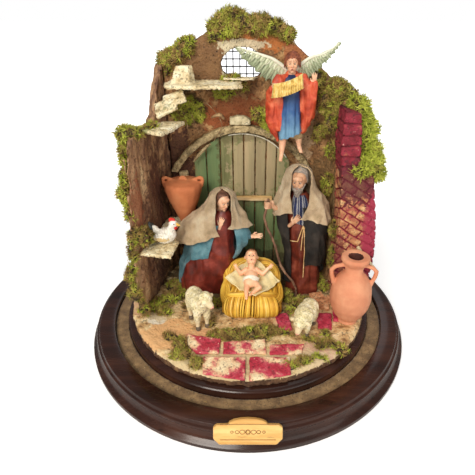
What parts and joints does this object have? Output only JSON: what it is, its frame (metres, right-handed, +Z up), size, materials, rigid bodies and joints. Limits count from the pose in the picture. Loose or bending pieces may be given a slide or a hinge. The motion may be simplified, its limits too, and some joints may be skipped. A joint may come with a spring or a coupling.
{
  "type": "nativity grotto ornament",
  "caption": "Ruined cork grotto with a planked door, a brick pier and small moulded and cloth-dressed figures, on a round wooden base with a groove for a glass cover.",
  "frame": {"origin": "centre of the round base's underside, on the surface it stands on", "axes": "+Z up; +X to the viewer's right and +Y away from the viewer, seen from the scene's open front"},
  "size_m": [0.25, 0.251, 0.2342],
  "materials": {
    "bare_twig": "bare twig",
    "black_cloth": "stiffened cloth",
    "cork_bark": "rough cork bark, matte",
    "cork_ground": "rough cork, matte",
    "cream_cloth": "plain cotton",
    "cream_cork": "cork painted cream, worn",
    "dark_wood": "polished dark stain",
    "felt": "napped lining, matte",
    "fleece": "painted modelling clay, woolly",
    "gilt": "pleated gilt band",
    "green_plank": "weathered green paint",
    "linen": "coarse stiffened linen",
    "moss": "dried moss",
    "moss_bright": "dried moss, bright",
    "orange_mantle": "painted modelling clay, cloth look",
    "oxblood": "stiffened waxed cloth",
    "plaster": "sandy plaster over cork, matte",
    "plate_wood": "light wood, bare",
    "red_brick": "cork painted dark red, worn",
    "red_paving": "cork painted cream under worn red",
    "skin": "painted modelling clay",
    "straw": "dyed straw strands, slight sheen",
    "string": "waxed string",
    "teal": "stiffened cloth",
    "terracotta": "unglazed clay",
    "white_feather": "painted modelling clay",
    "wing": "painted modelling clay",
    "wire": "thin wire"
  },
  "bodies": {
    "root": {"amphora": "terracotta", "angel_figure": "orange_mantle", "angel_ribbon": "gilt", "angel_wings": "wing", "arch_strip": "cream_cork", "arch_wire": "wire", "back_wall": "plaster", "base_plinth": "dark_wood", "brick_pier": "red_brick", "broken_twig": "cream_cork", "door_batten": "cream_cork", "door_plank_1": "green_plank", "door_plank_2": "green_plank", "door_plank_3": "green_plank", "door_plank_4": "green_plank", "door_plank_5": "green_plank", "door_plank_6": "green_plank", "door_plank_7": "green_plank", "door_plank_8": "green_plank", "door_post": "cream_cork", "groove_lining": "felt", "ground_board": "cork_ground", "hen": "white_feather", "infant": "skin", "keystone": "cream_cork", "kneeling_gown": "oxblood", "kneeling_hand": "skin", "kneeling_head": "skin", "kneeling_mantle": "teal", "kneeling_veil": "linen", "ledge_slab": "cream_cork", "left_wall": "cork_bark", "lower_shelf": "cream_cork", "moss_crest": "moss", "moss_pier": "moss_bright", "moss_right": "moss", "moss_shoulder": "moss", "name_plate": "plate_wood", "paving_front_left": "red_paving", "paving_front_right": "red_paving", "paving_mid_centre": "red_paving", "paving_mid_left": "red_paving", "paving_mid_right": "red_paving", "paving_right": "red_paving", "roof_slabs": "cream_cork", "sheep_left": "fleece", "sheep_right": "fleece", "shelf_jar": "terracotta", "sill_slab": "cream_cork", "staff": "bare_twig", "standing_gown": "oxblood", "standing_hand": "skin", "standing_head": "skin", "standing_hood": "linen", "standing_mantle": "black_cloth", "straw_bundle": "straw", "string_belt": "string", "swaddling_cloth": "cream_cloth", "upper_shelf": "cream_cork", "window_grille": "wire"}
  },
  "joints": []
}
